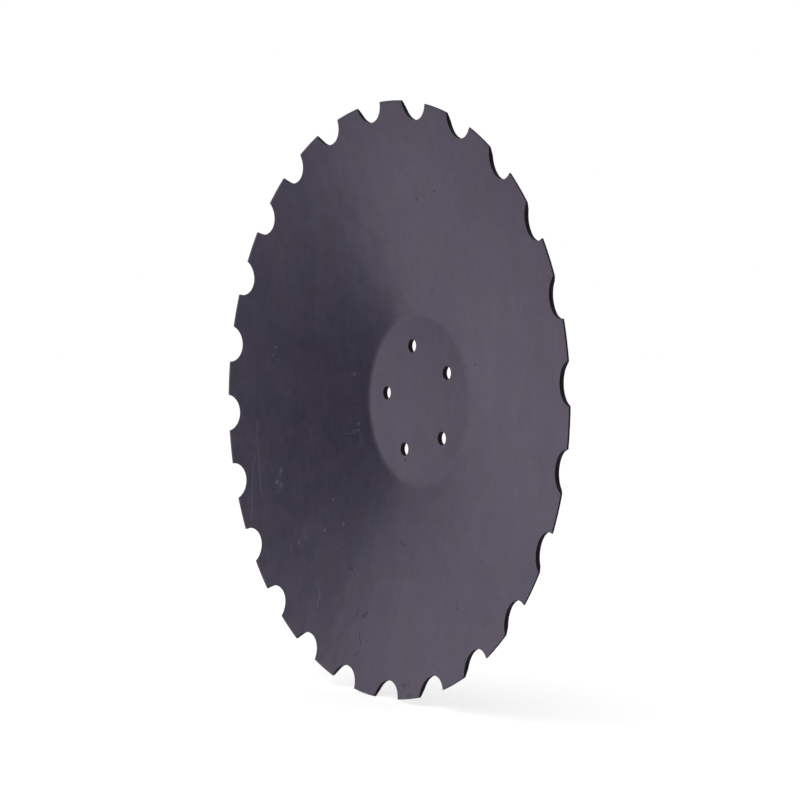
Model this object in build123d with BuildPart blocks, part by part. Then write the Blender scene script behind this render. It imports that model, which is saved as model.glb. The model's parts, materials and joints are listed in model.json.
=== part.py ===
"""A notched conical disc blade, as used on cultivators and disc harrows.

One round plate is pressed into a shallow cone with a flat centre. The flat centre bolts to a
hub flange. The rim carries a ring of round notches, and the teeth left between them are ground
to a thin cutting edge from the convex side.

The blade's axis lies along Y. The concave side faces -Y, the convex side faces +Y, and +Z is
up. The origin is the centre of the flat mounting face on the convex side.
"""

from build123d import *
from math import atan, cos, tan
import os

# Pressed plate, in millimetres
BLADE_DIAMETER = 520.0
PLATE_THICKNESS = 5.0
FLAT_DIAMETER = 153.0  # to the corner where the lines of flat and cone would meet
DISH_DEPTH = 44.0  # from the rim to the flat centre, both on the concave side
BEND_RADIUS = 35.0  # inside of the bend, on the concave side

# Cutting edge, ground on the convex side
EDGE_THICKNESS = 1.6
GRIND_WIDTH = 7.2

# Round notches, angles in degrees from +X towards +Z
NOTCH_COUNT = 24
NOTCH_RADIUS = 17.75
NOTCH_DEPTH = 15.5
NOTCH_BREAK = 1.4  # chamfer along the convex side of each notch
FIRST_NOTCH_ANGLE = 3.05

# Bolt holes in the flat centre, angles in degrees from +X towards +Z
BOLT_COUNT = 5
BOLT_CIRCLE_DIAMETER = 98.0
BOLT_HOLE_DIAMETER = 12.0
BOLT_HOLE_BREAK = 0.4
FIRST_BOLT_ANGLE = 28.7

# Places that follow from those sizes
rim_radius = BLADE_DIAMETER / 2
flat_radius = FLAT_DIAMETER / 2
cone_slope = DISH_DEPTH / (rim_radius - flat_radius)
cone_angle = atan(cone_slope)
axial_thickness = PLATE_THICKNESS / cos(cone_angle)
concave_flat_y = -PLATE_THICKNESS
concave_rim_y = concave_flat_y - DISH_DEPTH
convex_rim_y = concave_rim_y + axial_thickness
convex_flat_radius = flat_radius + PLATE_THICKNESS * tan(cone_angle / 2)
notch_centre_radius = rim_radius - NOTCH_DEPTH + NOTCH_RADIUS
grind_start_radius = rim_radius - GRIND_WIDTH
grind_start_y = convex_rim_y + GRIND_WIDTH * cone_slope
grind_slope = (grind_start_y - concave_rim_y - EDGE_THICKNESS) / GRIND_WIDTH

with BuildPart() as disc_blade:
    # Half section through the plate, X the radius and Y the blade's axis: both faces keep the
    # same distance through the bend, because the two arcs share one centre
    with BuildSketch(Plane.XY) as plate_section:
        with BuildLine() as plate_outline:
            concave_line = FilletPolyline(
                (0, concave_flat_y),
                (flat_radius, concave_flat_y),
                (rim_radius, concave_rim_y),
                radius=BEND_RADIUS,
            )
            convex_line = FilletPolyline(
                (0, 0),
                (convex_flat_radius, 0),
                (rim_radius, convex_rim_y),
                radius=BEND_RADIUS + PLATE_THICKNESS,
            )
            Line(concave_line @ 0, convex_line @ 0)
            Line(concave_line @ 1, convex_line @ 1)
        make_face()
    revolve(axis=Axis.Y)

    # The notches are punched along the blade's axis, through the sloping plate
    with BuildSketch(Plane.XZ) as notch_outlines:
        with PolarLocations(notch_centre_radius, NOTCH_COUNT, start_angle=FIRST_NOTCH_ANGLE):
            Circle(NOTCH_RADIUS)
    extrude(amount=2 * DISH_DEPTH, both=True, mode=Mode.SUBTRACT)

    # Where a notch leaves the convex side its edge is broken: of the curved edges left by the
    # punch, these are the ones nearest +Y
    punched_edges = disc_blade.edges().filter_by(
        lambda edge: edge.geom_type not in (GeomType.LINE, GeomType.CIRCLE)
    )
    convex_notch_edges = punched_edges.sort_by(Axis.Y)[-NOTCH_COUNT:]
    chamfer(convex_notch_edges, length=NOTCH_BREAK)

    # The grind takes a ring off the convex side of the teeth and thins them towards the rim
    with BuildSketch(Plane.XY) as grind_section:
        with BuildLine() as grind_outline:
            grind_overrun = grind_start_radius + 2 * GRIND_WIDTH
            Polyline(
                (grind_start_radius, grind_start_y),
                (grind_overrun, grind_start_y - 2 * GRIND_WIDTH * grind_slope),
                (grind_overrun, grind_start_y),
                close=True,
            )
        make_face()
    revolve(axis=Axis.Y, mode=Mode.SUBTRACT)

    # Bolt holes, with both mouths broken
    with Locations(Plane.XZ):
        with PolarLocations(BOLT_CIRCLE_DIAMETER / 2, BOLT_COUNT, start_angle=FIRST_BOLT_ANGLE):
            Hole(radius=BOLT_HOLE_DIAMETER / 2)
    bolt_hole_mouths = disc_blade.edges().filter_by(
        lambda edge: edge.geom_type == GeomType.CIRCLE
        and abs(edge.radius - BOLT_HOLE_DIAMETER / 2) < BOLT_HOLE_BREAK
    )
    chamfer(bolt_hole_mouths, length=BOLT_HOLE_BREAK)

disc_blade.part.label = "disc_blade"

os.makedirs("parts", exist_ok=True)
export_step(disc_blade.part, "parts/disc_blade.step")
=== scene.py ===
"""A notched conical disc blade in satin violet-grey paint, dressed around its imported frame.

The blade is one pressed plate: a flat centre with five bolt holes, a shallow cone, a ring of
round notches, and teeth that are ground thin from the convex side. Its axis lies along Y, the
concave side faces -Y, and +Z is up. Lengths are in metres unless a name says millimetres.
"""

import json
import logging
from collections.abc import Callable
from dataclasses import dataclass, field
from enum import Enum
from functools import partial, reduce
from math import acos, atan, cos, hypot, pi, radians, sin, sqrt, tan

import bmesh
import bpy
from bmesh.types import BMEdge, BMesh, BMFace, BMVert
from bpy.types import Material, NodeOutputs, NodeSocket, NodeTree, Object
from mathutils import Matrix, Vector


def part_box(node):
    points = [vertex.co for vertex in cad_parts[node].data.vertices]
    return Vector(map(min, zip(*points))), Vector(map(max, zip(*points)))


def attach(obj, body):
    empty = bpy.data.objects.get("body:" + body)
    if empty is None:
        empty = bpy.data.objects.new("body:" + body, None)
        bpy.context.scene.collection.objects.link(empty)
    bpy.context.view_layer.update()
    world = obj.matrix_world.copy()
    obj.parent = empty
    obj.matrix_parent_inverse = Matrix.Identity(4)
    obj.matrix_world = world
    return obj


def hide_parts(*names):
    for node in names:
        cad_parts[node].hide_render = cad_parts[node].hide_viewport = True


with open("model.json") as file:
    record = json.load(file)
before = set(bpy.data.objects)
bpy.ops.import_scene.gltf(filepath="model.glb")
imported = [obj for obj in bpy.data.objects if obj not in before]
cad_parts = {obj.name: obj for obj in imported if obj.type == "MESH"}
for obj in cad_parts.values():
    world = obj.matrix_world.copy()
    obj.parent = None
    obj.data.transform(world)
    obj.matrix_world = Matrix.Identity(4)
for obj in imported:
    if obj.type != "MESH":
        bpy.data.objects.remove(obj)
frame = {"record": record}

LOG = logging.getLogger("disc_blade")
CAD_NODE = "disc_blade"
BODY = "root"

AXIS_POINT = Vector((0.0, 0.0, 0.0))
TURN_AXIS = Vector((0.0, -1.0, 0.0))  # angles run from +X towards +Z
IN_PLAN = (1.0, 0.0, 1.0)  # takes a place to the blade's plan
FULL_TURN = 2 * pi
MILLIMETRE = 0.001

Pair = tuple[float, float]
Colour = tuple[float, float, float]
NUMBER = "NodeSocketFloat"
VECTOR = "NodeSocketVector"
COLOUR = "NodeSocketColor"
WHITE = (1.0, 1.0, 1.0, 1.0)


def on_blade(radius: float, angle: float, height: float = 0.0) -> Vector:
    """A point at a radius and an angle about the blade's axis, at a place along the axis."""
    return Vector((radius * cos(angle), height, radius * sin(angle)))


def plan_distance(point: Vector, centre: Vector = AXIS_POINT) -> float:
    """Distance in plan from a point to the blade's axis, or to another point."""
    return hypot(point.x - centre.x, point.z - centre.z)


def direction(azimuth: float, elevation: float) -> Vector:
    """The direction at an azimuth from -Y towards +X and an elevation above the horizon."""
    return Vector((sin(azimuth) * cos(elevation), -cos(azimuth) * cos(elevation), sin(elevation)))


def linked(made: Object) -> Object:
    """Links an object to the scene and hands it back."""
    bpy.context.scene.collection.objects.link(made)
    return made


def mesh_object(name: str, bm: BMesh, *materials: Material) -> Object:
    """Turns a bmesh into an object and frees it.

    Args:
        name: The object's name.
        bm: The bmesh.
        *materials: The object's materials, slot by slot.

    Returns:
        The object, linked to the scene.
    """
    mesh = bpy.data.meshes.new(name)
    bm.to_mesh(mesh)
    bm.free()
    for material in materials:
        mesh.materials.append(material)
    return linked(bpy.data.objects.new(name, mesh))


class Surface(Enum):
    """The three kinds of surface on the blade, as slots of its mesh."""

    ROLLED = 0
    SHEARED = 1
    GROUND = 2


@dataclass(frozen=True)
class BoltHoles:
    """The ring of plain bolt holes in the flat centre."""

    count: int
    circle_radius: float  # of the circle through their centres
    radius: float
    first_angle: float = radians(28.7)
    edge_break: float = 0.0002  # chamfer round both mouths
    margin: float = 0.003  # width of the ring of mesh round each hole
    steps: int = 48  # edges round each hole

    @classmethod
    def from_record(cls, record: dict, mount_name: str) -> "BoltHoles":
        """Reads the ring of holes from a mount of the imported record.

        Args:
            record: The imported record.
            mount_name: Name of the bolt pattern.

        Returns:
            The holes, in metres.
        """
        dims = next(m["dims"] for m in record["mounts"] if m["name"] == mount_name)
        circle_radius = dims["pcd_mm"] * MILLIMETRE / 2
        return cls(dims["count"], circle_radius, dims["hole_r_mm"] * MILLIMETRE)

    @property
    def pitch(self) -> float:
        """Angle from one hole to the next."""
        return FULL_TURN / self.count

    def centres(self) -> list[Vector]:
        """The centre of each hole, in the plane of the mounting face."""
        angles = [self.first_angle + self.pitch * index for index in range(self.count)]
        return [on_blade(self.circle_radius, angle) for angle in angles]


@dataclass(frozen=True)
class Notches:
    """The ring of round notches in the rim."""

    count: int = 24
    radius: float = 0.01775
    depth: float = 0.0155  # how far each reaches in from the rim
    edge_break: float = 0.0014  # on the convex side
    first_angle: float = radians(3.05)
    arc_steps: int = 18  # edges along the arc of one notch
    land_steps: int = 10  # edges along the land between two notches

    @property
    def pitch(self) -> float:
        """Angle from one notch to the next."""
        return FULL_TURN / self.count


@dataclass(frozen=True)
class DiscBlade:
    """The blade's plate, built as one closed mesh.

    Its plan is laid out from rings that follow the rim and then close in on the flat centre,
    each ring as far behind the rim as it is inside it. The plan is doubled, one copy is pressed
    to each side of the plate, and walls join the two at the rim and in the bolt holes.
    """

    holes: BoltHoles
    notches: Notches
    rim_radius: float = 0.260
    thickness: float = 0.005
    flat_radius: float = 0.0765  # where the lines of flat and cone would meet
    dish_depth: float = 0.044  # from the rim to the flat centre
    bend_radius: float = 0.035  # inside the bend, on the concave side
    edge_thickness: float = 0.0016  # what the grind leaves at the rim
    grind_width: float = 0.0072  # on the convex side
    edge_rounding: float = 0.00018
    # insets of the rings that follow the notches, in grind widths and in notch edge breaks
    notched_rings: tuple[Pair, ...] = ((0, 0), (1 / 3, 1 / 2), (2 / 3, 3 / 4), (1, 1), (1.6, 4))
    bridging_radius: float = 0.228  # where the rings stop following the notches
    flat_margin: float = 0.003  # width of the plain ring inside the bend
    bridging_cuts: int = 2  # further rings between the notched rings and that radius
    cone_cuts: int = 17
    bend_cuts: int = 11
    flat_cuts: int = 1
    sharp_angle: float = radians(25)  # faces that meet at more than this show an edge
    corner_angle: float = radians(30)  # rim edges that turn by more than this are rounded
    weld: float = 1e-6  # distance under which two points are one

    @property
    def slope(self) -> float:
        """Fall of the cone along the axis for each metre outwards."""
        return self.dish_depth / (self.rim_radius - self.flat_radius)

    @property
    def cone_angle(self) -> float:
        """Angle between the cone and the flat centre."""
        return atan(self.slope)

    @property
    def bend_start(self) -> float:
        """Radius at which the flat centre ends."""
        return self.flat_radius - self.bend_radius * tan(self.cone_angle / 2)

    @property
    def bend_end(self) -> float:
        """Radius at which the cone starts on the convex side."""
        return self.bend_start + (self.bend_radius + self.thickness) * sin(self.cone_angle)

    @property
    def notch_centre_radius(self) -> float:
        """Radius of the circle through the centres of the notches."""
        return self.rim_radius - self.notches.depth + self.notches.radius

    @property
    def ground_height(self) -> float:
        """Place along the axis of the ground face at the rim."""
        return self.face_height(self.rim_radius, 0.0) + self.edge_thickness

    @property
    def grind_slope(self) -> float:
        """Rise of the ground face for each metre inwards."""
        start = self.face_height(self.rim_radius - self.grind_width, self.thickness)
        return (start - self.ground_height) / self.grind_width

    def face_height(self, radius: float, offset: float) -> float:
        """Place along the axis of a face of the plate, without its worked edges.

        Args:
            radius: Distance from the axis.
            offset: Distance through the plate from the concave face.

        Returns:
            The face's Y.
        """
        centre_height = -self.thickness - self.bend_radius
        bend = self.bend_radius + offset
        run = radius - self.bend_start
        if run <= 0:
            return centre_height + bend
        if run < bend * sin(self.cone_angle):
            return centre_height + sqrt(bend**2 - run**2)
        return centre_height + bend / cos(self.cone_angle) - run * self.slope

    def hole_break(self, point: Vector) -> float:
        """How far the chamfer of the nearest bolt hole cuts into the plate at a point."""
        nearest = min(plan_distance(point, centre) for centre in self.holes.centres())
        return max(0.0, self.holes.edge_break - (nearest - self.holes.radius))

    def notch_distance(self, point: Vector) -> float:
        """Measures in plan how far a point lies from the wall of the nearest notch.

        Args:
            point: The point.

        Returns:
            The distance, which is negative inside the notch.
        """
        angle = Vector((point.x, point.z)).angle_signed(Vector((1.0, 0.0)))
        turn = round((angle - self.notches.first_angle) / self.notches.pitch)
        nearest_angle = self.notches.first_angle + turn * self.notches.pitch
        centre = on_blade(self.notch_centre_radius, nearest_angle)
        return plan_distance(point, centre) - self.notches.radius

    def concave_point(self, point: Vector) -> Vector:
        """Presses a point of the plan to the concave side."""
        height = self.face_height(plan_distance(point), 0.0) + self.hole_break(point)
        return Vector((point.x, height, point.z))

    def convex_point(self, point: Vector) -> Vector:
        """Presses a point of the plan to the convex side, with its broken and ground edges.

        Args:
            point: The point in plan.

        Returns:
            The point on the plate.
        """
        radius = plan_distance(point)
        face = self.face_height(radius, self.thickness) - self.hole_break(point)
        broken = face - max(0.0, self.notches.edge_break - self.notch_distance(point))
        ground = self.ground_height + (self.rim_radius - radius) * self.grind_slope
        return Vector((point.x, min(broken, ground), point.z))

    def arc(self, bm: BMesh, start: Vector, centre: Vector, angle: float, steps: int) -> None:
        """Draws an arc of edges by spinning a vertex.

        Args:
            bm: The mesh that takes the arc.
            start: Where the arc starts.
            centre: The arc's centre.
            angle: The angle that it turns through.
            steps: Number of edges.
        """
        first = bm.verts.new(start)
        bmesh.ops.spin(
            bm, geom=[first], cent=centre, axis=TURN_AXIS, angle=angle, steps=steps,
            use_merge=False,
        )

    def loop(self, bm: BMesh, draw: Callable[[], None], copies: int) -> list[BMEdge]:
        """Draws one share of a ring and repeats it round the axis.

        Args:
            bm: The mesh that takes the ring.
            draw: Draws the first share.
            copies: How many shares make the whole ring.

        Returns:
            The ring's edges.
        """
        older = set(bm.verts) | set(bm.edges)
        draw()
        share = [item for item in (*bm.verts, *bm.edges) if item not in older]
        bmesh.ops.spin(
            bm, geom=share, cent=AXIS_POINT, axis=TURN_AXIS,
            angle=FULL_TURN * (copies - 1) / copies, steps=copies - 1, use_duplicate=True,
        )
        fresh = [vert for vert in bm.verts if vert not in older]
        bmesh.ops.remove_doubles(bm, verts=fresh, dist=self.weld)
        return [edge for edge in bm.edges if edge not in older]

    def notched_loop(self, bm: BMesh, land_inset: float, notch_inset: float) -> list[BMEdge]:
        """Draws a ring that follows the notched rim at a distance inside it.

        Args:
            bm: The mesh that takes the ring.
            land_inset: Distance inside the lands.
            notch_inset: Distance outside the notch walls.

        Returns:
            The ring's edges.
        """
        land, arc = self.rim_radius - land_inset, self.notches.radius + notch_inset
        centre, first = self.notch_centre_radius, self.notches.first_angle
        half_notch = acos((land**2 + centre**2 - arc**2) / (2 * land * centre))
        half_arc = acos((arc**2 + centre**2 - land**2) / (2 * arc * centre))
        corner = on_blade(land, first + half_notch, land_inset)
        land_angle = self.notches.pitch - 2 * half_notch

        def draw() -> None:
            """Draws one notch and the land after it."""
            self.arc(bm, corner, on_blade(centre, first), 2 * half_arc, self.notches.arc_steps)
            self.arc(bm, corner, AXIS_POINT, land_angle, self.notches.land_steps)

        return self.loop(bm, draw, self.notches.count)

    def plain_loop(self, bm: BMesh, radius: float) -> list[BMEdge]:
        """Draws a plain ring with as many edges as a notched one, in step with it.

        Args:
            bm: The mesh that takes the ring.
            radius: The ring's radius.

        Returns:
            The ring's edges.
        """
        steps = self.notches.arc_steps + self.notches.land_steps
        step_angle = self.notches.pitch / steps
        first = self.notches.first_angle - step_angle * self.notches.arc_steps / 2
        start = on_blade(radius, first, self.rim_radius - radius)

        def draw() -> None:
            """Draws one pitch of the ring."""
            self.arc(bm, start, AXIS_POINT, self.notches.pitch, steps)

        return self.loop(bm, draw, self.notches.count)

    def hole_loops(self, bm: BMesh, radius: float) -> list[BMEdge]:
        """Draws a ring round every bolt hole.

        Args:
            bm: The mesh that takes the rings.
            radius: Radius of each ring.

        Returns:
            The edges of all the rings.
        """
        centre = self.holes.centres()[0]
        inset = self.rim_radius - self.bend_start + self.flat_margin
        depth = inset + self.holes.radius + self.holes.margin - radius
        start = centre + Vector((radius, depth, 0.0))

        def draw() -> None:
            """Draws the ring round the first hole."""
            self.arc(bm, start, centre, FULL_TURN, self.holes.steps)

        return self.loop(bm, draw, self.holes.count)

    def lay_out(self, bm: BMesh) -> None:
        """Lays out the plan of the plate, ring by ring.

        Args:
            bm: The mesh that takes the plan.
        """
        rings = [
            self.notched_loop(bm, grinds * self.grind_width, breaks * self.notches.edge_break)
            for grinds, breaks in self.notched_rings
        ]
        cuts = [0] * (len(rings) - 1)
        for radius, rings_between in (
            (self.bridging_radius, self.bridging_cuts),
            (self.bend_end + self.flat_margin, self.cone_cuts),
            (self.bend_start, self.bend_cuts),
            (self.bend_start - self.flat_margin, self.flat_cuts),
        ):
            rings.append(self.plain_loop(bm, radius))
            cuts.append(rings_between)
        for outer, inner, rings_between in zip(rings, rings[1:], cuts):
            made = bmesh.ops.bridge_loops(bm, edges=outer + inner)
            if rings_between:
                spokes = [edge for edge in made["edges"] if edge.is_valid]
                bmesh.ops.subdivide_edges(
                    bm, edges=spokes, cuts=rings_between, use_grid_fill=True
                )
        hole = self.holes.radius
        margin, mouth, wall = (
            self.hole_loops(bm, radius)
            for radius in (hole + self.holes.margin, hole + self.holes.edge_break, hole)
        )
        bmesh.ops.triangle_fill(bm, use_beauty=True, edges=rings[-1] + margin)
        self.bridge_holes(bm, margin + mouth)
        self.bridge_holes(bm, mouth + wall)

    def bridge_holes(self, bm: BMesh, edges: list[BMEdge]) -> list[BMFace]:
        """Joins two sets of rings round the bolt holes, hole by hole.

        Args:
            bm: The mesh that holds the rings.
            edges: Edges of both sets.

        Returns:
            The faces between them.
        """
        faces = []
        reach = self.holes.circle_radius / 2
        for centre in self.holes.centres():
            near = [edge for edge in edges if plan_distance(edge.verts[0].co, centre) < reach]
            faces += bmesh.ops.bridge_loops(bm, edges=near)["faces"]
        return faces

    def press(self, bm: BMesh) -> None:
        """Doubles the plan, presses one copy to each side, and joins them with walls.

        Args:
            bm: The mesh that holds the plan.
        """
        concave_verts = list(bm.verts)
        copied = bmesh.ops.duplicate(bm, geom=[*bm.verts, *bm.edges, *bm.faces])["geom"]
        convex_verts = [item for item in copied if isinstance(item, BMVert)]
        convex_faces = [item for item in copied if isinstance(item, BMFace)]
        for vert in concave_verts:
            vert.co = self.concave_point(vert.co)
        for vert in convex_verts:
            vert.co = self.convex_point(vert.co)
        open_edges = [edge for edge in bm.edges if edge.is_boundary]
        rim = [edge for edge in open_edges if self.radius_of(edge) > self.bridging_radius]
        mouths = [edge for edge in open_edges if self.radius_of(edge) < self.bend_start]
        walls = bmesh.ops.bridge_loops(bm, edges=rim)["faces"]
        walls += self.bridge_holes(bm, mouths)
        grind_start = self.rim_radius - self.grind_width
        for face in convex_faces:
            centre = face.calc_center_median()
            if plan_distance(centre) > grind_start:
                face.material_index = Surface.GROUND.value
            elif self.notch_distance(centre) < self.notches.edge_break:
                face.material_index = Surface.SHEARED.value
        for face in walls:
            face.material_index = Surface.SHEARED.value

    def radius_of(self, edge: BMEdge) -> float:
        """Distance from the axis to an edge's first end."""
        return plan_distance(edge.verts[0].co)

    def on_outline(self, vert: BMVert) -> bool:
        """Whether a vertex lies on the notched outline of the rim."""
        outside = plan_distance(vert.co) > self.rim_radius - self.weld
        return outside or self.notch_distance(vert.co) < self.weld

    def soften_edges(self, bm: BMesh) -> None:
        """Rounds the edges of the rim, where paint and handling leave none quite sharp.

        Args:
            bm: The mesh that holds the plate.
        """
        bmesh.ops.recalc_face_normals(bm, faces=bm.faces)
        edges = [
            edge
            for edge in bm.edges
            if self.radius_of(edge) > self.bridging_radius
            and all(self.on_outline(vert) for vert in edge.verts)
            and edge.calc_face_angle(0.0) > self.corner_angle
        ]
        bmesh.ops.bevel(
            bm, geom=edges, offset=self.edge_rounding, offset_type="OFFSET", segments=2,
            profile=0.5, affect="EDGES", clamp_overlap=True, material=-1,
        )

    def build(self, name: str) -> Object:
        """Builds the plate.

        Args:
            name: The object's name.

        Returns:
            The object, linked to the scene.
        """
        bm = bmesh.new()
        self.lay_out(bm)
        self.press(bm)
        self.soften_edges(bm)
        bmesh.ops.recalc_face_normals(bm, faces=bm.faces)
        for face in bm.faces:
            face.smooth = True
        open_edges = sum(not edge.is_manifold for edge in bm.edges)
        LOG.info("%s: %d faces, %d open edges", name, len(bm.faces), open_edges)
        plate = mesh_object(name, bm)
        plate.data.set_sharp_from_angle(angle=self.sharp_angle)
        return plate


@dataclass(frozen=True)
class Pattern:
    """An uneven pattern of noise, and how strongly it is used."""

    per_metre: float  # features
    layers: float = 2.0  # finer layers on top
    layer_strength: float = 0.55
    swing: float = 0.0  # change of what it multiplies, from its low to its high places
    height: float = 0.0  # relief in metres, between the same


class Nodes:
    """Adds nodes to one node tree, with their values and links."""

    MIX_INPUTS = (0, 6, 7)  # share, first and second colour of a Mix node that mixes colours
    MIX_OUTPUT = 2

    def __init__(self, tree: NodeTree) -> None:
        """Takes the node tree of a material, a world or a group."""
        self.tree = tree

    def feed(self, socket: NodeSocket, value: object) -> None:
        """Links a socket to another, or gives it a plain value.

        Args:
            socket: The input.
            value: An output socket, a number, a vector or a colour.
        """
        if isinstance(value, NodeSocket):
            self.tree.links.new(value, socket)
        else:
            socket.default_value = value

    def add(
        self, kind: str, inputs: dict[str | int, object] | None = None, **settings: object
    ) -> NodeOutputs:
        """Adds a node.

        Args:
            kind: The node's type.
            inputs: Values or sockets for its inputs, by name or index.
            **settings: The node's own settings.

        Returns:
            Its outputs.
        """
        node = self.tree.nodes.new(kind)
        for name, value in settings.items():
            setattr(node, name, value)
        for name, value in (inputs or {}).items():
            self.feed(node.inputs[name], value)
        return node.outputs

    def effect(self, group: NodeTree, inputs: dict[str, object]) -> NodeOutputs:
        """Places a shared effect with this material's own values."""
        return self.add("ShaderNodeGroup", inputs, node_tree=group)

    def math(self, operation: str, *values: object) -> NodeSocket:
        """Adds a Math node with its inputs in order."""
        return self.add("ShaderNodeMath", dict(enumerate(values)), operation=operation)[0]

    def vector(self, operation: str, *values: object) -> NodeSocket:
        """Adds a Vector Math node that gives a vector, with its inputs in order."""
        return self.add("ShaderNodeVectorMath", dict(enumerate(values)), operation=operation)[0]

    def measure(self, operation: str, *values: object) -> NodeSocket:
        """Adds a Vector Math node that gives a number, with its inputs in order."""
        outputs = self.add("ShaderNodeVectorMath", dict(enumerate(values)), operation=operation)
        return outputs["Value"]

    def parts(self, vector: object) -> NodeOutputs:
        """Splits a vector into X, Y and Z."""
        return self.add("ShaderNodeSeparateXYZ", {"Vector": vector})

    def joined(self, x: object, y: object, z: object) -> NodeSocket:
        """Joins X, Y and Z into a vector."""
        return self.add("ShaderNodeCombineXYZ", {"X": x, "Y": y, "Z": z})["Vector"]

    def scaled(self, vector: object, factor: object) -> NodeSocket:
        """Scales a vector."""
        inputs = {0: vector, "Scale": factor}
        return self.add("ShaderNodeVectorMath", inputs, operation="SCALE")[0]

    def mix(self, share: object, first: object, second: object) -> NodeSocket:
        """Mixes two colours.

        Args:
            share: How much of the second.
            first: The first colour.
            second: The second colour.

        Returns:
            The mixed colour.
        """
        node = self.tree.nodes.new("ShaderNodeMix")
        node.data_type = "RGBA"
        for index, value in zip(self.MIX_INPUTS, (share, first, second)):
            self.feed(node.inputs[index], value)
        return node.outputs[self.MIX_OUTPUT]

    def between(
        self, value: object, low: float, high: float, to_low: float = 0.0, to_high: float = 1.0
    ) -> NodeSocket:
        """Maps a range of a value to another range, eased at both ends and kept inside it.

        Args:
            value: The value.
            low: Start of its range.
            high: End of its range.
            to_low: The result at the start.
            to_high: The result at the end.

        Returns:
            The mapped value.
        """
        inputs = {
            "Value": value, "From Min": low, "From Max": high, "To Min": to_low, "To Max": to_high,
        }
        outputs = self.add("ShaderNodeMapRange", inputs, interpolation_type="SMOOTHSTEP")
        return outputs["Result"]

    def fading(self, value: object, low: float, high: float) -> NodeSocket:
        """1 up to the start of a range of a value, eased down to 0 at its end."""
        return self.between(value, low, high, 1.0, 0.0)

    def noise(self, place: object, pattern: Pattern) -> NodeSocket:
        """Adds a Noise texture, whose values lie about 0.5.

        Args:
            place: The coordinates, in metres.
            pattern: Its pattern.

        Returns:
            The noise.
        """
        inputs = {
            "Vector": place, "Scale": pattern.per_metre, "Detail": pattern.layers,
            "Roughness": pattern.layer_strength,
        }
        return self.add("ShaderNodeTexNoise", inputs)["Fac"]

    def swung(self, noise: object, swing: float) -> NodeSocket:
        """Turns a noise about 0.5 into a factor about 1."""
        return self.math("MULTIPLY_ADD", noise, swing, 1.0 - swing / 2)

    def uneven(self, place: object, pattern: Pattern) -> NodeSocket:
        """Adds a pattern as a factor about 1."""
        return self.swung(self.noise(place, pattern), pattern.swing)

    def chained(self, operation: str, *values: object) -> NodeSocket:
        """Takes in numbers one after another by the same kind of Math node."""
        return reduce(partial(self.math, operation), values)

    def product(self, *factors: object) -> NodeSocket:
        """Multiplies numbers."""
        return self.chained("MULTIPLY", *factors)

    def total(self, *terms: object) -> NodeSocket:
        """Adds numbers up."""
        return self.chained("ADD", *terms)


class EffectGroup(Nodes):
    """A shader node group with named inputs and outputs."""

    def __init__(self, name: str, inputs: dict[str, str], outputs: dict[str, str]) -> None:
        """Makes the group and its sockets.

        Args:
            name: The group's name.
            inputs: Socket types of its inputs, by name.
            outputs: Socket types of its outputs, by name.
        """
        super().__init__(bpy.data.node_groups.new(name, "ShaderNodeTree"))
        for side, sockets in (("INPUT", inputs), ("OUTPUT", outputs)):
            for socket, kind in sockets.items():
                self.tree.interface.new_socket(socket, in_out=side, socket_type=kind)
        self.given = self.tree.nodes.new("NodeGroupInput").outputs
        self.result = self.tree.nodes.new("NodeGroupOutput").inputs

    def giving(self, **results: object) -> NodeTree:
        """Links the group's outputs.

        Args:
            **results: A socket for each output, by name.

        Returns:
            The group.
        """
        for name, value in results.items():
            self.feed(self.result[name], value)
        return self.tree


def cutout_distance_group() -> NodeTree:
    """Builds the distance outside the nearest of a ring of round cut-outs.

    Returns:
        The group.
    """
    group = EffectGroup(
        "cutout_distance",
        {"Place": VECTOR, "Ring Radius": NUMBER, "Pitch": NUMBER, "First Angle": NUMBER,
         "Cutout Radius": NUMBER},
        {"Distance": NUMBER},
    )
    given = group.given
    place = group.parts(given["Place"])
    angle = group.math("ARCTAN2", place["Z"], place["X"])
    from_first = group.math("SUBTRACT", angle, given["First Angle"])
    turn = group.math("ROUND", group.math("DIVIDE", from_first, given["Pitch"]))
    nearest = group.math("MULTIPLY_ADD", turn, given["Pitch"], given["First Angle"])
    centre = group.joined(group.math("COSINE", nearest), 0.0, group.math("SINE", nearest))
    in_plan = group.joined(place["X"], 0.0, place["Z"])
    reach = group.measure("DISTANCE", in_plan, group.scaled(centre, given["Ring Radius"]))
    return group.giving(Distance=group.math("SUBTRACT", reach, given["Cutout Radius"]))


def plate_depth_group() -> NodeTree:
    """Builds the distance along the axis from the plate's concave face.

    Returns:
        The group.
    """
    group = EffectGroup(
        "plate_depth",
        {"Place": VECTOR, "Thickness": NUMBER, "Flat Radius": NUMBER, "Slope": NUMBER},
        {"Depth": NUMBER, "Radius": NUMBER},
    )
    given = group.given
    place = group.parts(given["Place"])
    radius = group.measure("LENGTH", group.joined(place["X"], 0.0, place["Z"]))
    beyond_flat = group.math("SUBTRACT", radius, given["Flat Radius"])
    fall = group.product(group.math("MAXIMUM", beyond_flat, 0.0), given["Slope"])
    return group.giving(Depth=group.total(place["Y"], given["Thickness"], fall), Radius=radius)


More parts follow.
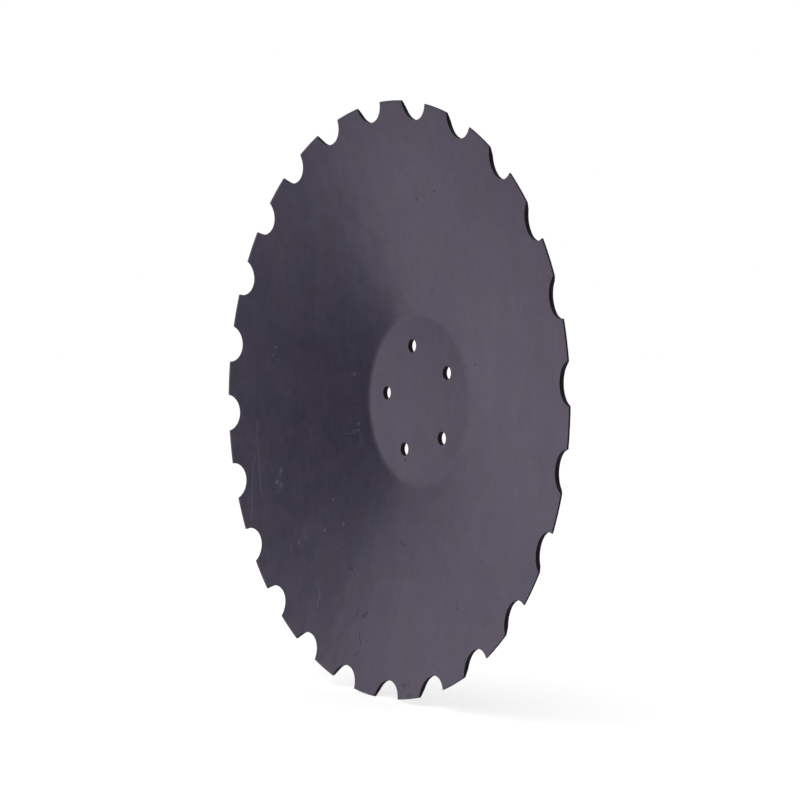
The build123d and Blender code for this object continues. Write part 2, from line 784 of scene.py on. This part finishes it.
CLOUDS = Pattern(26.0, 3.0, 0.6, swing=0.56)
MOTTLE = Pattern(130.0, 3.0, 0.6, swing=0.42)
GRAIN = Pattern(620.0, 2.0, 0.6, swing=0.18, height=0.00001)
STREAKS = Pattern(240.0, swing=0.16)
STREAK_DRAW = (1.0, 1.0, 0.06)  # the paint was wiped up and down
HUE = Pattern(26.0, 3.0)
HUE_SHIFT = (0.7, 0.3, 0.1)  # sets its patches apart from the clouds
HUE_RANGE = (0.35, 0.65)
BLUER = (0.95, 1.01, 1.02)
PINKER = (1.06, 0.98, 0.97)
MATT_PATCHES = Pattern(45.0, 4.0, 0.6, swing=0.5)
MATT_GRAIN_SWING = 0.3
WAVE = Pattern(38.0, 1.0, height=0.0003)
PEEL = Pattern(400.0, 1.0, height=0.00002)


def thin_paint_group() -> NodeTree:
    """Builds thin sprayed paint on rolled steel: its clouds, mottle, wiping streaks and peel.

    Returns:
        The group. Its height is in metres.
    """
    group = EffectGroup(
        "thin_paint",
        {"Place": VECTOR, "Colour": COLOUR, "Roughness": NUMBER},
        {"Colour": COLOUR, "Roughness": NUMBER, "Height": NUMBER},
    )
    place, colour, roughness = group.given[:3]
    grain = group.noise(place, GRAIN)
    tone = group.product(
        group.uneven(place, CLOUDS),
        group.uneven(place, MOTTLE),
        group.swung(grain, GRAIN.swing),
        group.uneven(group.vector("MULTIPLY", place, STREAK_DRAW), STREAKS),
    )
    hue = group.noise(group.vector("ADD", place, HUE_SHIFT), HUE)
    bluer, pinker = (group.vector("MULTIPLY", colour, cast) for cast in (BLUER, PINKER))
    tinted = group.mix(group.between(hue, *HUE_RANGE), bluer, pinker)
    matt_grain = group.swung(grain, MATT_GRAIN_SWING)
    relief = [group.product(group.noise(place, part), part.height) for part in (WAVE, PEEL)]
    return group.giving(
        Colour=group.scaled(tinted, tone),
        Roughness=group.product(roughness, group.uneven(place, MATT_PATCHES), matt_grain),
        Height=group.total(*relief, group.product(grain, GRAIN.height)),
    )


RUBBING = Pattern(280.0, 3.0, 0.65)
RUBBING_RANGE = (0.35, 0.7)
RUBBING_REACH = (0.1, 1.8)  # of the worn line, as a share of its mean width
RUBBING_FADE = (0.5, 1.0)  # as a share of that reach


def edge_wear_and_highlight_group() -> NodeTree:
    """Builds the ragged line along an edge where paint has rubbed off.

    The faces also use it for a painted highlight along their edges.

    Returns:
        The group.
    """
    group = EffectGroup(
        "edge_wear_and_highlight", {"Place": VECTOR, "Distance": NUMBER, "Width": NUMBER}, {"Wear": NUMBER}
    )
    place, distance, width = group.given[:3]
    ragged = group.between(group.noise(place, RUBBING), *RUBBING_RANGE, *RUBBING_REACH)
    share = group.math("DIVIDE", distance, group.product(width, ragged))
    return group.giving(Wear=group.fading(share, *RUBBING_FADE))


TOOL_LINES = Pattern(1.0, 3.0, 0.7, swing=0.7)


def tool_lines_group() -> NodeTree:
    """Builds the fine lines that a punch or a grinding wheel leaves along one direction.

    Returns:
        The group. Its place is already drawn out along the lines.
    """
    group = EffectGroup(
        "tool_lines", {"Drawn Place": VECTOR, "Lines Per Metre": NUMBER},
        {"Lines": NUMBER, "Tone": NUMBER},
    )
    drawn_place, per_metre = group.given[:2]
    lines = group.noise(group.scaled(drawn_place, per_metre), TOOL_LINES)
    return group.giving(Lines=lines, Tone=group.swung(lines, TOOL_LINES.swing))


LARGEST_SPECK = 0.09  # as a share of the specks' spacing
SPECK_FADE = (0.4, 1.0)  # as a share of a speck's size
NIB_CHANCE = 0.28
PIT_CHANCE = 0.2


def paint_nibs_group() -> NodeTree:
    """Builds the small nibs of dust under the paint and pits in it, scattered by chance.

    Returns:
        The group.
    """
    group = EffectGroup(
        "paint_nibs", {"Place": VECTOR, "Spacing": NUMBER}, {"Nibs": NUMBER, "Pits": NUMBER}
    )
    place, spacing = group.given[:2]
    in_spacings = group.scaled(place, group.math("DIVIDE", 1.0, spacing))
    cells = group.add(
        "ShaderNodeTexVoronoi", {"Vector": in_spacings, "Scale": 1.0, "Randomness": 1.0}
    )
    chance = group.parts(cells["Color"])
    size = group.product(chance["Z"], LARGEST_SPECK)
    speck = group.fading(group.math("DIVIDE", cells["Distance"], size), *SPECK_FADE)
    nib = group.math("GREATER_THAN", chance["X"], 1.0 - NIB_CHANCE)
    pit = group.math("LESS_THAN", chance["X"], PIT_CHANCE)
    return group.giving(Nibs=group.product(speck, nib), Pits=group.product(speck, pit))


def mark_reach_group() -> NodeTree:
    """Builds the distance from a straight mark on the plate, where 1 is the mark's edge.

    Returns:
        The group.
    """
    group = EffectGroup(
        "mark_reach", {"Place": VECTOR, "Start": VECTOR, "End": VECTOR, "Width": NUMBER},
        {"Reach": NUMBER},
    )
    place, start, end, width = group.given[:4]
    along = group.vector("SUBTRACT", end, start)
    from_start = group.vector("SUBTRACT", place, start)
    ahead = group.measure("DOT_PRODUCT", from_start, along)
    share = group.math("DIVIDE", ahead, group.measure("DOT_PRODUCT", along, along))
    kept = group.math("MINIMUM", group.math("MAXIMUM", share, 0.0), 1.0)
    distance = group.measure("DISTANCE", from_start, group.scaled(along, kept))
    half_width = group.math("DIVIDE", width, 2.0)
    return group.giving(Reach=group.math("DIVIDE", distance, half_width))


@dataclass(frozen=True)
class Effects:
    """The shader node groups that the finishes share, each built once."""

    cutout_distance: NodeTree = field(default_factory=cutout_distance_group)
    plate_depth: NodeTree = field(default_factory=plate_depth_group)
    thin_paint: NodeTree = field(default_factory=thin_paint_group)
    edge_wear_and_highlight: NodeTree = field(default_factory=edge_wear_and_highlight_group)
    tool_lines: NodeTree = field(default_factory=tool_lines_group)
    paint_nibs: NodeTree = field(default_factory=paint_nibs_group)
    mark_reach: NodeTree = field(default_factory=mark_reach_group)


class MaterialNodes(Nodes):
    """The nodes of a new material."""

    def __init__(self, name: str) -> None:
        """Makes the material.

        Args:
            name: Its name.
        """
        self.material = bpy.data.materials.new(name)
        self.material.use_nodes = True
        super().__init__(self.material.node_tree)
        self.tree.nodes.clear()
        self.place = self.add("ShaderNodeTexCoord")["Object"]

    def ending_in(self, shader: NodeSocket) -> Material:
        """Links a shader to the material's surface and hands the material back."""
        self.add("ShaderNodeOutputMaterial", {"Surface": shader})
        return self.material


class BladeNodes(MaterialNodes):
    """The nodes of one of the blade's finishes, with places measured on the plate."""

    def __init__(self, name: str, blade: DiscBlade, effects: Effects) -> None:
        """Makes the material and measures from the plate's edges and its concave face.

        Args:
            name: The material's name.
            blade: The blade.
            effects: The shared effects.
        """
        super().__init__(name)
        self.effects = effects
        depth = self.effect(
            effects.plate_depth,
            {"Place": self.place, "Thickness": blade.thickness,
             "Flat Radius": blade.flat_radius, "Slope": blade.slope},
        )
        self.depth, self.radius = depth["Depth"], depth["Radius"]
        notches, holes = blade.notches, blade.holes
        from_notch = self.from_cutout(notches, blade.notch_centre_radius, notches.radius)
        from_hole = self.from_cutout(holes, holes.circle_radius, holes.radius + holes.edge_break)
        from_land = self.math("SUBTRACT", blade.rim_radius, self.radius)
        self.from_edge = self.chained("MINIMUM", from_notch, from_land, from_hole)

    def from_cutout(
        self, ring: Notches | BoltHoles, ring_radius: float, radius: float
    ) -> NodeSocket:
        """Measures from the nearest cut-out of a ring.

        Args:
            ring: The notches or the holes.
            ring_radius: Radius of the circle through their centres.
            radius: Radius of each.

        Returns:
            The distance.
        """
        values = {"Place": self.place, "Ring Radius": ring_radius, "Pitch": ring.pitch,
                  "First Angle": ring.first_angle, "Cutout Radius": radius}
        return self.effect(self.effects.cutout_distance, values)["Distance"]

    def thin_paint(self, colour: object, roughness: float) -> NodeOutputs:
        """Places the sprayed paint with this finish's colour and roughness."""
        values = {"Place": self.place, "Colour": colour, "Roughness": roughness}
        return self.effect(self.effects.thin_paint, values)

    def edge_wear_and_highlight(self, width: float) -> NodeSocket:
        """Places the rubbed line along the plate's edges, on the faces a painted highlight too."""
        values = {"Place": self.place, "Distance": self.from_edge, "Width": width}
        return self.effect(self.effects.edge_wear_and_highlight, values)["Wear"]

    def tool_lines(self, drawn_place: object, per_metre: float) -> NodeOutputs:
        """Places a tool's fine lines."""
        values = {"Drawn Place": drawn_place, "Lines Per Metre": per_metre}
        return self.effect(self.effects.tool_lines, values)

    def painted(
        self, colour: object, roughness: object, height: object, specular: float
    ) -> Material:
        """Ends the material in a painted surface.

        Args:
            colour: Its colour.
            roughness: Its roughness.
            height: Its fine relief, in metres.
            specular: Strength of its gloss.

        Returns:
            The material.
        """
        bump = self.add("ShaderNodeBump", {"Height": height, "Distance": 1.0})
        shader = self.add(
            "ShaderNodeBsdfPrincipled",
            {"Base Color": colour, "Roughness": roughness, "Normal": bump["Normal"],
             "Specular IOR Level": specular},
        )
        return self.ending_in(shader["BSDF"])


@dataclass(frozen=True)
class MarkLook:
    """What a mark does to the paint."""

    light: float = 0.0  # share of the worn colour in it
    dark: float = 0.0  # share of the painted shade colour in it
    height: float = 0.0  # how far it stands up, in metres


class MarkKind(Enum):
    """The kinds of mark that handling has left in the paint, with their looks."""

    SCRATCH = MarkLook(light=0.28, height=-0.00003)
    SCUFF = MarkLook(light=0.15)
    NIB = MarkLook(light=0.38, height=0.00012)
    # dents and nicks: sunk, and darkened with painted shade
    DENT = MarkLook(dark=0.42, height=-0.00025)


@dataclass(frozen=True)
class Mark:
    """A straight mark on the concave face, in millimetres right of and above the axis."""

    start: Pair
    end: Pair
    width: float

    @classmethod
    def line(cls, width: float, *points: Pair) -> tuple["Mark", ...]:
        """A line through points."""
        return tuple(cls(*ends, width) for ends in zip(points, points[1:]))

    @classmethod
    def spots(cls, width: float, *points: Pair) -> tuple["Mark", ...]:
        """Round marks at points."""
        return tuple(cls(point, point, width) for point in points)


@dataclass(frozen=True)
class HandlingMarks:
    """The marks on the concave face, from stacking and carrying."""

    # long light scratches near the left edge, which fan out downwards
    left_fan: tuple[Mark, ...] = (
        *Mark.line(2.6, (-221, -22), (-220, -40), (-217, -54), (-215, -71), (-210, -92)),
        *Mark.line(2.2, (-222, -56), (-224, -72), (-224, -84), (-221, -117)),
    )
    short_scratches: tuple[Mark, ...] = (
        *Mark.line(2.2, (-121, -168), (-114, -175)),
        *Mark.line(3.0, (-114, -175), (-111, -182), (-112, -193)),
        *Mark.line(1.6, (-106, -32), (-92, -31)),
        *Mark.line(2.8, (-96, -29), (-91, -29)),
        *Mark.line(2.4, (-43, -212), (-35, -218), (-38, -228)),
        *Mark.line(1.6, (160, -60), (159, -74)),
    )
    scuffs: tuple[Mark, ...] = (
        *Mark.line(9.0, (-190, -79), (-184, -82), (-187, -88)),
        *Mark.line(6.0, (-185, -68), (-187, -75)),
        *Mark.line(5.0, (-145, -124), (-144, -131)),
        *Mark.line(4.0, (-161, -137), (-160, -143)),
        *Mark.line(4.5, (-126, -112), (-124, -121)),
        *Mark.line(4.0, (-129, -154), (-128, -161)),
        *Mark.line(6.0, (-86, -32), (-84, -39)),
        *Mark.spots(5.0, (-155, -152), (-97, -137), (-96, -1), (-86, -43)),
    )
    nibs: tuple[Mark, ...] = Mark.spots(
        4.8, (-94, 23), (-117, -122), (-150, -136), (-93, -115), (-89, -23), (-185, -69),
        (-189, -80),
    )
    fine_nibs: tuple[Mark, ...] = Mark.spots(
        3.2, (-112, -93), (-194, 50), (-198, 42), (-88, -29), (-184, -83), (1, 141),
        (150, -157), (104, 162),
    )
    # dents, sunk and darkened with painted shade
    dents: tuple[Mark, ...] = Mark.spots(
        3.2, (30, 96), (128, -133), (99, -174), (62, 178), (32, 174), (38, -245), (90, 30),
        (-19, -54),
    )
    # short dark nicks, sunk and darkened with painted shade, most of them near the lower edge
    nicks: tuple[Mark, ...] = (
        *Mark.line(3.4, (-8, -126), (-3, -128)),
        *Mark.line(3.2, (-75, -153.5), (-69, -155)),
        *Mark.line(3.0, (-52, -191), (-52, -195)),
        *Mark.line(3.0, (-43, -195), (-38, -191.5)),
        *Mark.line(3.0, (46, -253), (50, -253)),
        *Mark.line(1.8, (-44, -208), (-42, -213), (-38, -219)),
        *Mark.line(1.8, (-45, -230), (-40, -226)),
    )

    def of_kind(self, kind: MarkKind) -> tuple[Mark, ...]:
        """Every mark of a kind.

        Args:
            kind: The kind.

        Returns:
            The marks.
        """
        kinds = {
            MarkKind.SCRATCH: self.left_fan + self.short_scratches,
            MarkKind.SCUFF: self.scuffs,
            MarkKind.NIB: self.nibs + self.fine_nibs,
            MarkKind.DENT: self.nicks + self.dents,
        }
        return kinds[kind]


@dataclass(frozen=True)
class FacePaint:
    """Satin violet-grey paint on the plate's rolled faces, with its handling marks."""

    # painted shade darkens its dents, nicks and pits, and a painted highlight lines its edges
    colour: Colour = (0.055, 0.049, 0.079)
    worn_colour: Colour = (0.13, 0.12, 0.145)  # where the paint is rubbed thin, and the painted highlight along the edges
    # painted shade in the dents, nicks and pits
    recess_shade_colour: Colour = (0.014, 0.011, 0.018)
    roughness: float = 0.17
    worn_roughness: float = 0.3  # added where it is rubbed thin
    specular: float = 0.5
    wear_width: float = 0.0009  # mean width of the worn line and painted highlight along the edges
    # the line along the edges: rubbed paint with a painted highlight
    edge_wear_and_highlight_look: MarkLook = MarkLook(light=0.45)
    nib_spacing: float = 0.011  # mean distance between scattered nibs
    scattered_nib: MarkLook = MarkLook(light=0.22, height=0.00004)
    # pits darkened with painted shade
    scattered_pit: MarkLook = MarkLook(dark=0.35)
    marks: HandlingMarks = HandlingMarks()
    ragged: Pattern = Pattern(520.0, 3.0, 0.7, swing=1.1)  # of the marks' edges
    mark_fade: Pair = (0.95, 1.6)  # in half widths of the mark
    mark_depth: Pair = (0.001, 0.002)  # into the plate, where the marks end

    def mask(self, nodes: BladeNodes, kind: MarkKind) -> NodeSocket:
        """Draws every mark of a kind on the concave face.

        Args:
            nodes: The material's nodes.
            kind: The kind.

        Returns:
            1 in the marks, 0 elsewhere.
        """
        in_plan = nodes.vector("MULTIPLY", nodes.place, IN_PLAN)
        reaches = []
        for mark in self.marks.of_kind(kind):
            start, end = ((x * MILLIMETRE, 0.0, z * MILLIMETRE) for x, z in (mark.start, mark.end))
            values = {"Place": in_plan, "Start": start, "End": end,
                      "Width": mark.width * MILLIMETRE}
            reaches.append(nodes.effect(nodes.effects.mark_reach, values)["Reach"])
        nearest = nodes.chained("MINIMUM", *reaches)
        ragged = nodes.noise(nodes.place, self.ragged)
        edge = nodes.math("MULTIPLY_ADD", ragged, self.ragged.swing, nearest)
        on_concave = nodes.fading(nodes.depth, *self.mark_depth)
        return nodes.product(nodes.fading(edge, *self.mark_fade), on_concave)

    def material(self, blade: DiscBlade, effects: Effects) -> Material:
        """Makes the material.

        Args:
            blade: The blade.
            effects: The shared effects.

        Returns:
            The material.
        """
        nodes = BladeNodes("satin_face_paint", blade, effects)
        paint = nodes.thin_paint((*self.colour, 1.0), self.roughness)
        specks = nodes.effect(
            effects.paint_nibs, {"Place": nodes.place, "Spacing": self.nib_spacing}
        )
        marks = [(self.mask(nodes, kind), kind.value) for kind in MarkKind]
        marks.append((nodes.edge_wear_and_highlight(self.wear_width), self.edge_wear_and_highlight_look))
        marks.append((specks["Nibs"], self.scattered_nib))
        marks.append((specks["Pits"], self.scattered_pit))
        # the lights hold rubbed paint and the painted edge highlight, the darks hold painted shade
        lights = [nodes.product(mask, look.light) for mask, look in marks if look.light]
        darks = [nodes.product(mask, look.dark) for mask, look in marks if look.dark]
        relief = [nodes.product(mask, look.height) for mask, look in marks if look.height]
        light, dark = nodes.total(*lights), nodes.total(*darks)
        # lighter where paint is rubbed, and painted highlight along the edges
        rubbed = nodes.mix(light, paint["Colour"], (*self.worn_colour, 1.0))
        return nodes.painted(
            colour=nodes.mix(dark, rubbed, (*self.recess_shade_colour, 1.0)),
            roughness=nodes.math("MULTIPLY_ADD", light, self.worn_roughness, paint["Roughness"]),
            height=nodes.total(paint["Height"], *relief),
            specular=self.specular,
        )


@dataclass(frozen=True)
class ShearedWallPaint:
    """The same thin, dull paint on the punched and sheared walls, darkened as painted shade."""

    colour: Colour = (0.013, 0.011, 0.016)  # painted shade, on the smooth part near the concave face
    torn_shade_colour: Colour = (0.006, 0.005, 0.007)  # darker painted shade, on the rough part near the convex face
    torn_share: Pair = (0.60, 0.76)  # of the way through the plate, where torn takes over
    torn_line: Pattern = Pattern(160.0, 3.0, swing=0.5)
    torn_pits: Pattern = Pattern(1100.0, 3.0, 0.7, height=0.00015)
    roughness: float = 0.65
    specular: float = 0.1
    lines_per_metre: float = 900.0  # that the punch left
    draw_factor: float = 0.05  # the lines are drawn out along the axis
    line_height: float = 0.00008

    def material(self, blade: DiscBlade, effects: Effects) -> Material:
        """Makes the material.

        Args:
            blade: The blade.
            effects: The shared effects.

        Returns:
            The material.
        """
        nodes = BladeNodes("painted_shade_on_sheared_wall", blade, effects)
        share = nodes.product(
            nodes.math("DIVIDE", nodes.depth, blade.thickness),
            nodes.uneven(nodes.place, self.torn_line),
        )
        torn = nodes.between(share, *self.torn_share)
        # the walls' dark colours are painted shade, darker still towards the convex face
        base = nodes.mix(torn, (*self.colour, 1.0), (*self.torn_shade_colour, 1.0))
        paint = nodes.thin_paint(base, self.roughness)
        drawn = nodes.vector("MULTIPLY", nodes.place, (1.0, self.draw_factor, 1.0))
        lines = nodes.tool_lines(drawn, self.lines_per_metre)
        pits = nodes.product(nodes.noise(nodes.place, self.torn_pits), torn)
        return nodes.painted(
            colour=nodes.scaled(paint["Colour"], lines["Tone"]),
            roughness=paint["Roughness"],
            height=nodes.total(
                paint["Height"], nodes.product(lines["Lines"], self.line_height),
                nodes.product(pits, self.torn_pits.height),
            ),
            specular=self.specular,
        )


@dataclass(frozen=True)
class GroundEdgePaint:
    """The same paint over the fine round lines of the ground edge."""

    colour: Colour = (0.055, 0.049, 0.079)
    worn_colour: Colour = (0.15, 0.14, 0.165)  # where the tip has rubbed on other blades
    worn_share: float = 0.5
    roughness: float = 0.28
    specular: float = 0.5
    wear_width: float = 0.0012
    lines_per_metre: float = 1500.0
    draw_factor: float = 0.006  # the lines are drawn out round the rim
    line_swing: float = 0.35
    line_height: float = 0.00003

    def material(self, blade: DiscBlade, effects: Effects) -> Material:
        """Makes the material.

        Args:
            blade: The blade.
            effects: The shared effects.

        Returns:
            The material.
        """
        nodes = BladeNodes("paint_on_ground_edge", blade, effects)
        paint = nodes.thin_paint((*self.colour, 1.0), self.roughness)
        outwards = nodes.vector("NORMALIZE", nodes.vector("MULTIPLY", nodes.place, IN_PLAN))
        round_rim = nodes.scaled(outwards, self.draw_factor)
        drawn = nodes.vector("ADD", round_rim, nodes.joined(0.0, nodes.radius, 0.0))
        lines = nodes.tool_lines(drawn, self.lines_per_metre)["Lines"]
        toned = nodes.scaled(paint["Colour"], nodes.swung(lines, self.line_swing))
        wear = nodes.product(nodes.edge_wear_and_highlight(self.wear_width), self.worn_share)
        return nodes.painted(
            colour=nodes.mix(wear, toned, (*self.worn_colour, 1.0)),
            roughness=paint["Roughness"],
            height=nodes.total(paint["Height"], nodes.product(lines, self.line_height)),
            specular=self.specular,
        )


@dataclass(frozen=True)
class ProductCamera:
    """The camera, at the photo's viewing angle."""

    azimuth: float = radians(55.02)
    elevation: float = radians(0.37)
    distance: float = 1.6544  # from the point it aims at
    aim_right: float = 0.0202  # how far that point lies to the right of the rim's centre
    lens: float = 85.13  # millimetres, on a 36 mm sensor
    clip_start: float = 0.05

    def place(self, rim_centre: Vector) -> None:
        """Adds the camera and makes it the scene's.

        Args:
            rim_centre: Centre of the rim's front edge.
        """
        back = direction(self.azimuth, self.elevation)
        right = Vector((cos(self.azimuth), sin(self.azimuth), 0.0))
        up = back.cross(right)
        data = bpy.data.cameras.new("product_camera")
        data.lens = self.lens
        data.clip_start = self.clip_start
        camera = linked(bpy.data.objects.new("product_camera", data))
        aim = rim_centre + right * self.aim_right
        turn = Matrix((right, up, back)).transposed().to_4x4()
        camera.matrix_world = Matrix.Translation(aim + back * self.distance) @ turn
        bpy.context.scene.camera = camera


@dataclass(frozen=True)
class SoftLamp:
    """A soft studio lamp, which gives light but no highlight of its own."""

    name: str
    azimuth: float  # of the direction that it stands in, from -Y towards +X
    elevation: float
    distance: float  # from the blade's centre
    size: float  # width and height of its square face
    brightness: float = 1.0  # of its face, where 1 is white

    def place(self) -> None:
        """Adds the lamp to the scene, facing the blade."""
        light = bpy.data.lights.new(self.name, "AREA")
        light.shape = "SQUARE"
        light.size = self.size
        light.energy = self.brightness * self.size**2 * pi
        lamp = linked(bpy.data.objects.new(self.name, light))
        back = direction(self.azimuth, self.elevation)
        lamp.location = back * self.distance
        lamp.rotation_mode = "QUATERNION"
        lamp.rotation_quaternion = back.to_track_quat("Z", "Y")
        lamp.visible_glossy = False


@dataclass(frozen=True)
class ReflectionCard:
    """The upright ring of card that the blade mirrors, seen in reflections alone."""

    radius: float = 1.3
    height: float = 2.6  # half of it above the blade's centre
    # azimuth in degrees from -Y towards +X, and brightness, once round the blade
    tones: tuple[Pair, ...] = (
        (-180, 1.10), (-166, 0.45), (-153, 0.10), (-140, 0.55), (-126, 1.00), (-108, 0.20),
        (-88, 0.36), (-82, 0.57), (-77, 0.78), (-69, 0.76), (-65, 0.80), (-60, 1.01),
        (-57, 1.09), (-50.5, 1.09), (-47.5, 0.62), (-42, 0.34), (-36, 0.06), (-30, 0.02),
        (-5, 0.30), (12, 0.72), (28, 0.80), (46, 0.44), (72, 0.20), (100, 0.16), (118, 0.50),
        (138, 1.20), (156, 2.00), (168, 1.65), (180, 1.10),
    )
    tint: Colour = (0.99, 0.855, 1.05)
    top_fade: Pair = (-0.05, 0.20)  # where it darkens upwards
    top_tone: float = 0.66  # brightness that is left above that
    steps: int = 96  # flat strips round the ring

    @property
    def ends(self) -> Pair:
        """Azimuth of both ends."""
        return radians(self.tones[0][0]), radians(self.tones[-1][0])

    def material(self) -> Material:
        """Makes the card's material, whose brightness changes from end to end.

        Returns:
            The material.
        """
        nodes = MaterialNodes("reflection_card")
        place = nodes.parts(nodes.place)
        azimuth = nodes.math("ARCTAN2", place["X"], nodes.math("MULTIPLY", place["Y"], -1.0))
        first, last = self.ends
        share = nodes.math("DIVIDE", nodes.math("SUBTRACT", azimuth, first), last - first)
        ramp = nodes.tree.nodes.new("ShaderNodeValToRGB")
        nodes.feed(ramp.inputs["Fac"], share)
        stops = ramp.color_ramp.elements
        while len(stops) < len(self.tones):
            stops.new(position=0.5)
        for stop, (degrees, brightness) in zip(stops, self.tones):
            stop.position = (radians(degrees) - first) / (last - first)
            stop.color = (*(brightness * part for part in self.tint), 1.0)
        strength = nodes.between(place["Z"], *self.top_fade, 1.0, self.top_tone)
        glow = nodes.add(
            "ShaderNodeEmission", {"Color": ramp.outputs["Color"], "Strength": strength}
        )
        return nodes.ending_in(glow["Emission"])

    def place(self) -> None:
        """Stands the card round the blade."""
        first, last = self.ends
        bm = bmesh.new()
        foot = direction(first, 0.0) * self.radius - Vector((0.0, 0.0, self.height / 2))
        edge = bmesh.ops.extrude_vert_indiv(bm, verts=[bm.verts.new(foot)])
        bmesh.ops.translate(bm, verts=edge["verts"], vec=(0.0, 0.0, self.height))
        bmesh.ops.spin(
            bm, geom=[*bm.verts, *bm.edges], cent=AXIS_POINT, axis=(0.0, 0.0, 1.0),
            angle=last - first, steps=self.steps,
        )
        card = mesh_object("reflection_card", bm, self.material())
        card.visible_camera = False
        card.visible_diffuse = False
        card.visible_shadow = False
        card.visible_transmission = False


@dataclass(frozen=True)
class Studio:
    """Plain pale floor, white surroundings, soft lamps and the card that the dish mirrors."""

    fill_strength: float = 0.55  # of the even light from all around
    floor_size: float = 24.0
    floor_tone: float = 0.8
    floor_roughness: float = 0.9
    near_lift: float = 0.58  # glow that the camera sees on the floor near the blade
    far_lift: float = 0.60  # the same where the floor meets the white surroundings
    lift_range: Pair = (0.5, 3.5)  # distances from the blade over which it changes
    lamps: tuple[SoftLamp, ...] = (
        SoftLamp("key_lamp", radians(-62), radians(12), distance=2.4, size=1.8),
        SoftLamp("top_lamp", radians(-20), radians(70), distance=2.2, size=1.6),
    )
    card: ReflectionCard = ReflectionCard()

    def seen_share(self, nodes: Nodes) -> NodeSocket:
        """Tells what is looked at from what gives light.

        Args:
            nodes: The nodes of the world or of a material.

        Returns:
            1 for rays from the camera, or from a mirror or glass that shows the surroundings.
        """
        path = nodes.add("ShaderNodeLightPath")
        rays = ("Is Camera Ray", "Is Glossy Ray", "Is Transmission Ray")
        return nodes.chained("MAXIMUM", *(path[ray] for ray in rays))

    def light_world(self) -> None:
        """Makes the surroundings white to look at and a soft fill as light."""
        world = bpy.data.worlds.new("white_surroundings")
        world.use_nodes = True
        world.node_tree.nodes.clear()
        nodes = Nodes(world.node_tree)
        seen, fill = self.seen_share(nodes), self.fill_strength
        strength = nodes.math("MULTIPLY_ADD", seen, 1.0 - fill, fill)
        background = nodes.add("ShaderNodeBackground", {"Color": WHITE, "Strength": strength})
        nodes.add("ShaderNodeOutputWorld", {"Surface": background["Background"]})
        bpy.context.scene.world = world

    def floor_material(self) -> Material:
        """Makes the floor's material, which fades into the white surroundings.

        Returns:
            The material.
        """
        nodes = MaterialNodes("pale_floor")
        distance = nodes.measure("LENGTH", nodes.vector("MULTIPLY", nodes.place, (1.0, 1.0, 0.0)))
        lift = nodes.between(distance, *self.lift_range, self.near_lift, self.far_lift)
        shader = nodes.add(
            "ShaderNodeBsdfPrincipled",
            {"Base Color": (*(self.floor_tone,) * 3, 1.0), "Roughness": self.floor_roughness,
             "Specular IOR Level": 0.0, "Emission Color": WHITE,
             "Emission Strength": nodes.product(self.seen_share(nodes), lift)},
        )
        return nodes.ending_in(shader["BSDF"])

    def lay_floor(self, height: float) -> None:
        """Lays the floor.

        Args:
            height: The Z of its surface.
        """
        bm = bmesh.new()
        bmesh.ops.create_grid(bm, x_segments=1, y_segments=1, size=self.floor_size / 2)
        bmesh.ops.translate(bm, verts=bm.verts, vec=(0.0, 0.0, height))
        floor = mesh_object("pale_floor", bm, self.floor_material())
        floor.visible_glossy = False

    def build(self, floor_height: float) -> None:
        """Builds the studio.

        Args:
            floor_height: The Z of the floor.
        """
        self.light_world()
        self.lay_floor(floor_height)
        self.card.place()
        for lamp in self.lamps:
            lamp.place()
        bpy.context.scene.view_settings.view_transform = "Standard"


def dress(plate: Object, blade: DiscBlade) -> None:
    """Gives each kind of surface on the plate its finish.

    Args:
        plate: The plate.
        blade: The blade that it was built from.
    """
    effects = Effects()
    finishes = {
        Surface.ROLLED: FacePaint(),
        Surface.SHEARED: ShearedWallPaint(),
        Surface.GROUND: GroundEdgePaint(),
    }
    for surface in Surface:
        material = finishes[surface].material(blade, effects)
        plate.data.materials.append(material)
        LOG.info("%s: %s on its %s surface", plate.name, material.name, surface.name.lower())


def main() -> None:
    """Builds the blade and its studio."""
    logging.basicConfig(level=logging.INFO, format="%(name)s: %(message)s")
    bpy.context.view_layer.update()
    rim_front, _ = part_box(CAD_NODE)
    blade = DiscBlade(BoltHoles.from_record(frame["record"], "hub_bolts"), Notches())
    plate = blade.build("notched_blade_plate")
    dress(plate, blade)
    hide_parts(CAD_NODE)
    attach(plate, BODY)
    LOG.info("%s: stands for %s and rides on %s", plate.name, CAD_NODE, BODY)
    ProductCamera().place(Vector((0.0, rim_front.y, 0.0)))
    Studio().build(rim_front.z)


if __name__ == "__main__":
    main()
